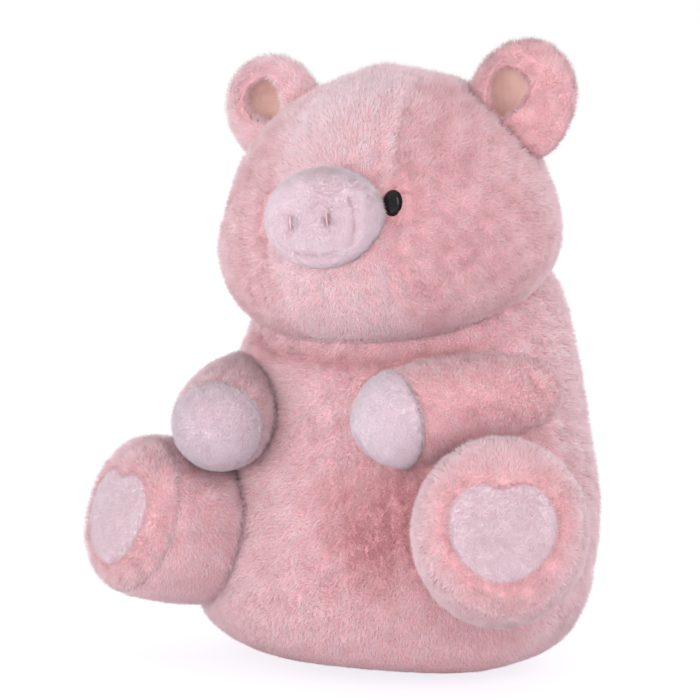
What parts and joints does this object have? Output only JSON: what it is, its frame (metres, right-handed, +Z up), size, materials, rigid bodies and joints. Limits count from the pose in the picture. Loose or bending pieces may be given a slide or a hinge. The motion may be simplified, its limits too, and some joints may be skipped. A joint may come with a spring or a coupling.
{
  "type": "plush pig",
  "caption": "Seated plush pig with a round head, a pale snout, folded-seam ears, soft arms and legs with heart pads on the soles, and a curled tail.",
  "frame": {"origin": "centre of the flat seat, on the surface that the pig sits on", "axes": "+Z up, the face looks along -Y, and +X points to the pig's own left"},
  "size_m": [0.2394, 0.2004, 0.2833],
  "materials": {
    "plush": "long soft pile",
    "pale_plush": "short soft pile",
    "lining": "smooth woven back with a faint sheen",
    "fibre": "loose polyester fibre",
    "bag_cloth": "plain woven cloth filled with pellets",
    "eye_black": "polished",
    "washer_plastic": "plain moulded"
  },
  "bodies": {
    "torso": {"body_cover": "plush", "body_stuffing": "fibre", "seat_pellet_bag": "bag_cloth", "closing_seam_thread": "plush"},
    "neck": {"neck_stuffing": "fibre"},
    "head": {"head_cover": "plush", "head_stuffing": "fibre", "snout_cover": "pale_plush", "snout_stuffing": "fibre", "nostril_stitch_left": "pale_plush", "nostril_stitch_right": "pale_plush", "eye_left": "eye_black", "eye_right": "eye_black", "eye_washer_left": "washer_plastic", "eye_washer_right": "washer_plastic"},
    "ear_left": {"ear_back_left": "plush", "ear_lining_left": "lining"},
    "ear_right": {"ear_back_right": "plush", "ear_lining_right": "lining"},
    "arm_left": {"arm_cover_left": "plush", "hand_tip_left": "pale_plush", "arm_stuffing_left": "fibre"},
    "arm_right": {"arm_cover_right": "plush", "hand_tip_right": "pale_plush", "arm_stuffing_right": "fibre"},
    "leg_left": {"leg_cover_left": "plush", "foot_sole_left": "plush", "heart_pad_left": "pale_plush", "leg_stuffing_left": "fibre"},
    "leg_right": {"leg_cover_right": "plush", "foot_sole_right": "plush", "heart_pad_right": "pale_plush", "leg_stuffing_right": "fibre"},
    "tail": {"tail": "plush"}
  },
  "joints": [
    {"name": "head_turn", "type": "hinge", "parent": "torso", "child": "neck", "pos_m": [0, -0.008, 0.139], "axis": [0, 0, 1], "range_deg": [-12, 12], "stiffness_Nm_per_rad": 1.5},
    {"name": "head_nod", "type": "hinge", "parent": "neck", "child": "head", "pos_m": [0, -0.008, 0.139], "axis": [1, 0, 0], "range_deg": [-6, 6], "stiffness_Nm_per_rad": 1.5},
    {"name": "ear_fold_left", "type": "hinge", "parent": "head", "child": "ear_left", "pos_m": [0.05857, -0.009, 0.24566], "axis": [0.891, 0, -0.454], "range_deg": [-15, 15], "stiffness_Nm_per_rad": 0.05},
    {"name": "ear_fold_right", "type": "hinge", "parent": "head", "child": "ear_right", "pos_m": [-0.05419, -0.009, 0.2448], "axis": [0.7431, 0, 0.6691], "range_deg": [-15, 15], "stiffness_Nm_per_rad": 0.05},
    {"name": "shoulder_swing_left", "type": "hinge", "parent": "torso", "child": "arm_left", "pos_m": [0.06981, -0.01565, 0.1265], "axis": [-0.829, 0.5592, 0], "range_deg": [-1, 14], "stiffness_Nm_per_rad": 0.6},
    {"name": "shoulder_swing_right", "type": "hinge", "parent": "torso", "child": "arm_right", "pos_m": [-0.07118, -0.01599, 0.12167], "axis": [-0.9563, -0.2924, 0], "range_deg": [-1, 14], "stiffness_Nm_per_rad": 0.6},
    {"name": "hip_swing_left", "type": "hinge", "parent": "torso", "child": "leg_left", "pos_m": [0.07, -0.04141, 0.06146], "axis": [-0.8829, -0.4695, 0], "range_deg": [-8, 2], "stiffness_Nm_per_rad": 1.2},
    {"name": "hip_swing_right", "type": "hinge", "parent": "torso", "child": "leg_right", "pos_m": [-0.06938, -0.04322, 0.05704], "axis": [-0.8829, 0.4695, 0], "range_deg": [-8, 2], "stiffness_Nm_per_rad": 1.2},
    {"name": "tail_wag", "type": "hinge", "parent": "torso", "child": "tail", "pos_m": [-0.0001, 0.06507, 0.05025], "axis": [0, 0, 1], "range_deg": [-15, 15], "stiffness_Nm_per_rad": 0.006}
  ]
}
